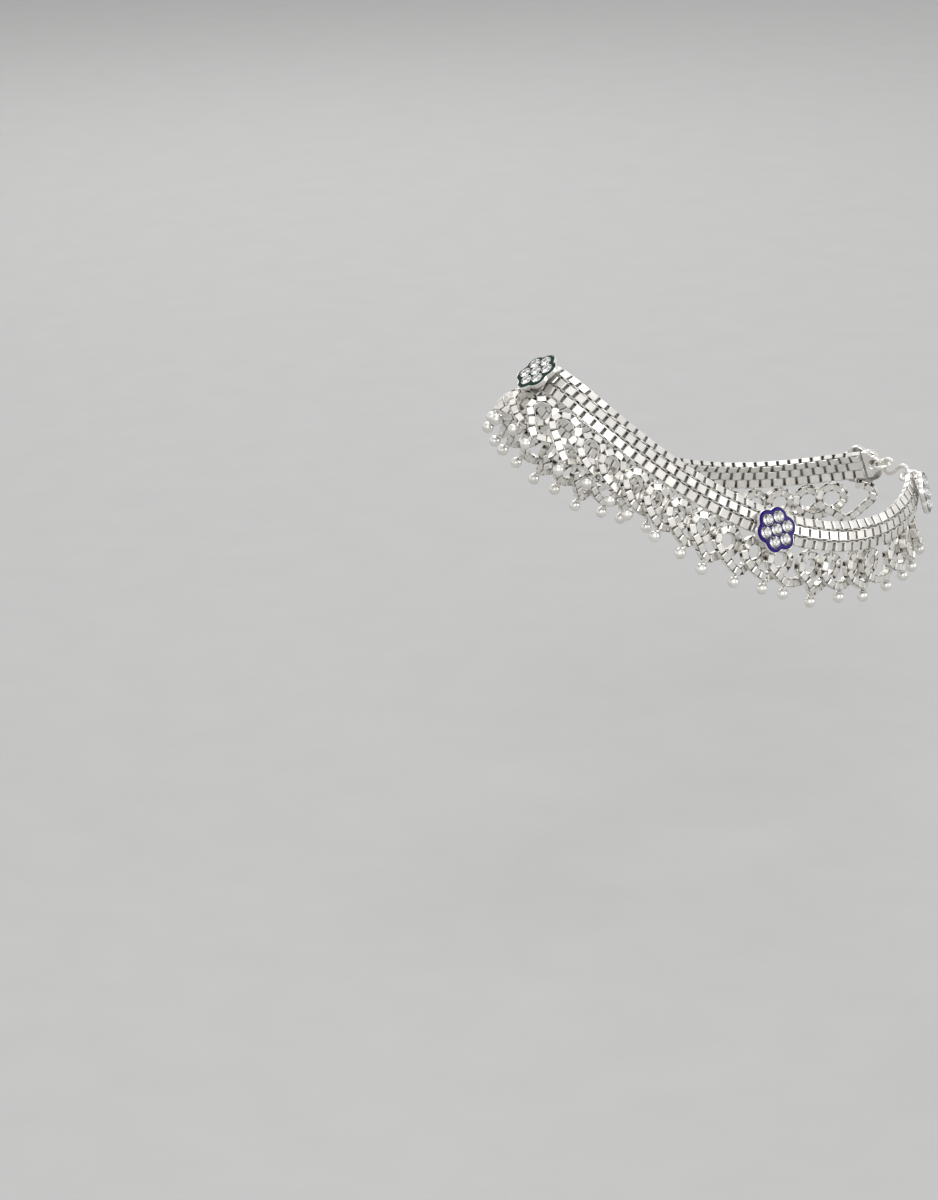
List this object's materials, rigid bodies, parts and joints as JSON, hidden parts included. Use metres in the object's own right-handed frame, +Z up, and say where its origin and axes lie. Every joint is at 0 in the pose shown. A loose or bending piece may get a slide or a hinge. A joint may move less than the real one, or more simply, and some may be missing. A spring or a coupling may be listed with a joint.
{
  "type": "anklet",
  "caption": "Silver anklet in its worn form: a mesh band closed by a hook, with a fringe of curled chain and drop beads and flowers of enamel and clear stones.",
  "frame": {"origin": "the middle of the ankle's opening, level with the mean height of the band's top edge", "axes": "+X from the front of the loop to the closure at the heel, +Z up along the leg, +Y to the far side"},
  "size_m": [0.1087, 0.0716, 0.0602],
  "materials": {
    "silver": "polished silver",
    "green_enamel": "glossy dark green enamel",
    "violet_enamel": "glossy blue violet enamel",
    "clear_stone": "cut and polished"
  },
  "bodies": {
    "root": {"closing_hook": "silver", "drop_bead_01": "silver", "drop_bead_02": "silver", "drop_bead_03": "silver", "drop_bead_04": "silver", "drop_bead_05": "silver", "drop_bead_06": "silver", "drop_bead_07": "silver", "drop_bead_08": "silver", "drop_bead_09": "silver", "drop_bead_10": "silver", "drop_bead_11": "silver", "drop_bead_12": "silver", "drop_bead_13": "silver", "drop_bead_14": "silver", "drop_bead_15": "silver", "drop_bead_16": "silver", "drop_bead_17": "silver", "drop_bead_18": "silver", "drop_bead_19": "silver", "drop_bead_20": "silver", "drop_bead_21": "silver", "drop_bead_22": "silver", "drop_bead_23": "silver", "drop_bead_24": "silver", "drop_bead_25": "silver", "drop_bead_26": "silver", "drop_bead_27": "silver", "drop_bead_28": "silver", "drop_bead_29": "silver", "drop_bead_30": "silver", "drop_bead_31": "silver", "drop_bead_32": "silver", "drop_bead_33": "silver", "drop_bead_34": "silver", "drop_bead_35": "silver", "drop_bead_36": "silver", "drop_bead_37": "silver", "drop_bead_38": "silver", "end_plate_far": "silver", "end_plate_near": "silver", "end_ring_far": "silver", "end_ring_near": "silver", "flower_1_green": "green_enamel", "flower_2_violet": "violet_enamel", "flower_3_green": "green_enamel", "flower_4_violet": "violet_enamel", "flower_5_green": "green_enamel", "fringe_chain": "silver", "mesh_band": "silver"}
  },
  "joints": []
}
